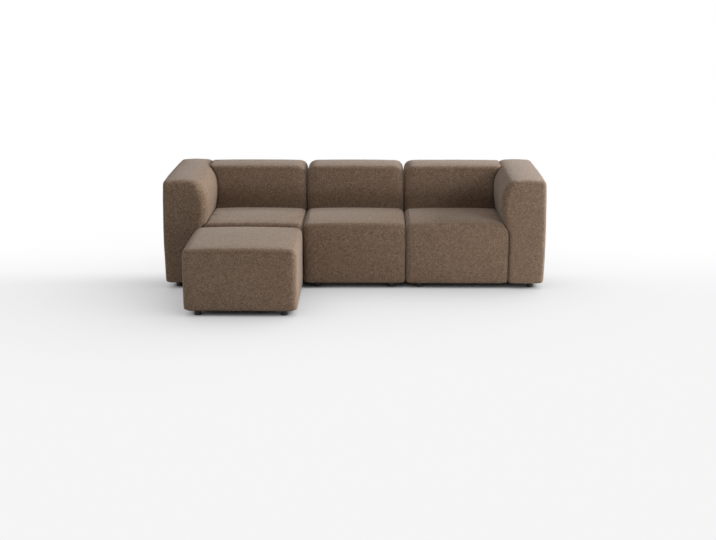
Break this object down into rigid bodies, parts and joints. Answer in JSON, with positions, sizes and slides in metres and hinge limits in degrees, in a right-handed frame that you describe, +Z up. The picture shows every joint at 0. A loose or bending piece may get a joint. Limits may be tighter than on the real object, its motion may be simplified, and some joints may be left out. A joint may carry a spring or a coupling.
{
  "type": "modular sofa with chaise ottoman",
  "caption": "Upholstered modular sofa: two corner modules with padded arms either side of an armless module, and a loose ottoman that makes one seat a chaise.",
  "frame": {"origin": "floor, in the middle of the whole set's length and depth", "axes": "+X along the sofa to the right seen from the front, -Y to the front, +Z up"},
  "size_m": [2.4976, 1.6228, 0.7238],
  "materials": {
    "sofa_fabric": "brown mottled short-pile chenille",
    "foam": "open-cell polyurethane foam",
    "pine": "planed pine",
    "hardboard": "hardboard sheet",
    "webbing": "woven elastic webbing",
    "spring_steel": "drawn spring wire",
    "zinc_steel": "zinc plated",
    "link_steel": "black powder coat",
    "clip_plastic": "moulded nylon",
    "foot_plastic": "black moulded plastic",
    "lining": "black non-woven lining"
  },
  "bodies": {
    "middle_module": {"middle_base_frame": "pine", "middle_back_frame": "pine", "middle_back_webbing": "webbing", "middle_seat_springs": "spring_steel", "middle_spring_clips": "clip_plastic", "middle_seat_foam": "foam", "middle_back_foam": "foam", "middle_seat_cover": "sofa_fabric", "middle_back_cover": "sofa_fabric", "middle_dust_cover": "lining", "middle_feet": "foot_plastic", "middle_foot_screws": "zinc_steel", "middle_link_plates": "link_steel", "middle_link_screws": "zinc_steel"},
    "left_corner_module": {"left_base_frame": "pine", "left_back_frame": "pine", "left_back_webbing": "webbing", "left_seat_springs": "spring_steel", "left_spring_clips": "clip_plastic", "left_seat_foam": "foam", "left_back_foam": "foam", "left_seat_cover": "sofa_fabric", "left_back_cover": "sofa_fabric", "left_arm_frame": "pine", "left_arm_panels": "hardboard", "left_arm_foam": "foam", "left_arm_cover": "sofa_fabric", "left_arm_bolts": "zinc_steel", "left_link_pins": "zinc_steel", "left_dust_cover": "lining", "left_feet": "foot_plastic", "left_foot_screws": "zinc_steel"},
    "right_corner_module": {"right_base_frame": "pine", "right_back_frame": "pine", "right_back_webbing": "webbing", "right_seat_springs": "spring_steel", "right_spring_clips": "clip_plastic", "right_seat_foam": "foam", "right_back_foam": "foam", "right_seat_cover": "sofa_fabric", "right_back_cover": "sofa_fabric", "right_arm_frame": "pine", "right_arm_panels": "hardboard", "right_arm_foam": "foam", "right_arm_cover": "sofa_fabric", "right_arm_bolts": "zinc_steel", "right_link_pins": "zinc_steel", "right_dust_cover": "lining", "right_feet": "foot_plastic", "right_foot_screws": "zinc_steel"},
    "ottoman": {"ottoman_base_frame": "pine", "ottoman_seat_springs": "spring_steel", "ottoman_spring_clips": "clip_plastic", "ottoman_foam": "foam", "ottoman_cover": "sofa_fabric", "ottoman_dust_cover": "lining", "ottoman_feet": "foot_plastic", "ottoman_foot_screws": "zinc_steel"}
  },
  "joints": [
    {"name": "left_lift", "type": "slide", "parent": "middle_module", "child": "left_corner_module", "axis": [0, 0, 1], "range_m": [0, 0.05]},
    {"name": "right_lift", "type": "slide", "parent": "middle_module", "child": "right_corner_module", "axis": [0, 0, 1], "range_m": [0, 0.05]},
    {"name": "ottoman_pull", "type": "slide", "parent": "middle_module", "child": "ottoman", "axis": [0, -1, 0], "range_m": [0, 0.8]}
  ]
}
